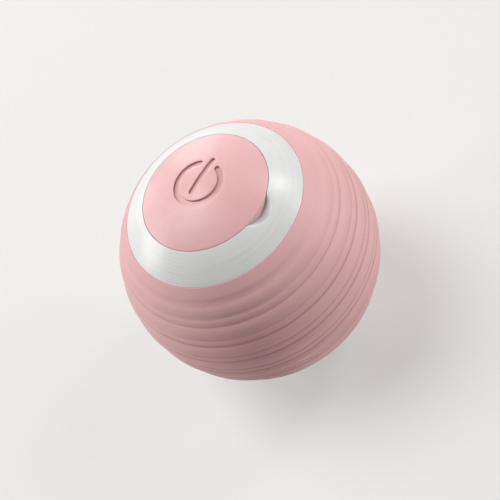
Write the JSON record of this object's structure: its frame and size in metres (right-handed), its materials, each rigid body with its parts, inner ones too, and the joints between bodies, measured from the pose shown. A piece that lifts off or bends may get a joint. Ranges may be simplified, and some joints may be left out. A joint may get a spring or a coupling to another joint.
{
  "type": "self rolling cat ball",
  "caption": "Ball shaped cat toy in a banded silicone sleeve, with a domed push button cap, a white ring and a motor that swings a weight inside.",
  "frame": {"origin": "middle of the flat under the lower cap that the ball stands on, which is the bottom centre of its bounding box", "axes": "+Z along the roll axis out of the power cap, +Y the way up of the power symbol, +X towards the finger scoop in the white ring"},
  "size_m": [0.0428, 0.0428, 0.0422],
  "materials": {
    "sleeve_silicone": "satin pink silicone",
    "cap_plastic": "smooth pink plastic with a soft sheen",
    "shell_plastic": "smooth white plastic with a soft sheen",
    "inner_plastic": "plain off-white moulding",
    "steel": "plain steel",
    "brass": "turned brass",
    "board": "green solder mask",
    "black_plastic": "black plastic",
    "battery_wrap": "foil pouch",
    "clear_plastic": "clear plastic",
    "red_lead": "red wire insulation"
  },
  "bodies": {
    "ball": {"silicone_sleeve": "sleeve_silicone", "upper_shell": "shell_plastic", "lower_shell": "shell_plastic", "lower_cap": "cap_plastic", "return_spring": "steel", "switch_body": "black_plastic", "main_board": "board", "usb_socket": "steel", "status_led": "clear_plastic", "light_pipe": "clear_plastic", "control_chip": "black_plastic", "shake_sensor": "brass", "board_screw_1": "steel", "board_screw_2": "steel", "board_screw_3": "steel", "frame_screw_1": "steel", "frame_screw_2": "steel", "frame_screw_3": "steel", "middle_frame": "inner_plastic", "battery_pack": "battery_wrap", "battery_lead_red": "red_lead", "battery_lead_black": "black_plastic", "motor_can": "steel", "motor_end_cap": "inner_plastic", "motor_lead_red": "red_lead", "motor_lead_black": "black_plastic", "idler_axle": "steel", "gearbox_cover": "inner_plastic", "gearbox_screw_1": "steel", "gearbox_screw_2": "steel", "gearbox_screw_3": "steel", "upper_bush": "brass", "lower_bush": "brass"},
    "button": {"button_carrier": "inner_plastic"},
    "cap": {"power_cap": "cap_plastic"},
    "plunger": {"switch_plunger": "inner_plastic"},
    "swing_unit": {"output_gear": "inner_plastic", "output_shaft": "steel", "weight_hub": "brass", "swing_weight": "steel", "weight_screw_1": "steel", "weight_screw_2": "steel"},
    "idler": {"idler_gear": "inner_plastic"},
    "rotor": {"motor_shaft": "steel", "motor_pinion": "brass"}
  },
  "joints": [
    {"name": "power_press", "type": "slide", "parent": "ball", "child": "button", "axis": [0, 0, -1], "range_m": [0, 0.0008], "stiffness_N_per_m": 800, "springref_m": -0.0006, "deforming": ["return_spring"]},
    {"name": "cap_lift", "type": "slide", "parent": "button", "child": "cap", "axis": [0, 0, 1], "range_m": [0, 0.01]},
    {"name": "switch_press", "type": "slide", "parent": "ball", "child": "plunger", "axis": [0, 0, -1], "range_m": [0, 0.0008]},
    {"name": "weight_swing", "type": "hinge", "parent": "ball", "child": "swing_unit", "pos_m": [0, 0, 0.0095], "axis": [0, 0, 1], "continuous": true},
    {"name": "idler_spin", "type": "hinge", "parent": "ball", "child": "idler", "pos_m": [-0.00662, -0.00296, 0.01816], "axis": [0, 0, 1], "continuous": true},
    {"name": "motor_spin", "type": "hinge", "parent": "ball", "child": "rotor", "pos_m": [-0.00736, 0.00425, 0.01901], "axis": [0, 0, 1], "continuous": true}
  ],
  "couplings": [
    {"joint": "switch_press", "follows": "power_press", "ratio": 1},
    {"joint": "idler_spin", "follows": "weight_swing", "ratio": -3},
    {"joint": "motor_spin", "follows": "weight_swing", "ratio": 9}
  ]
}
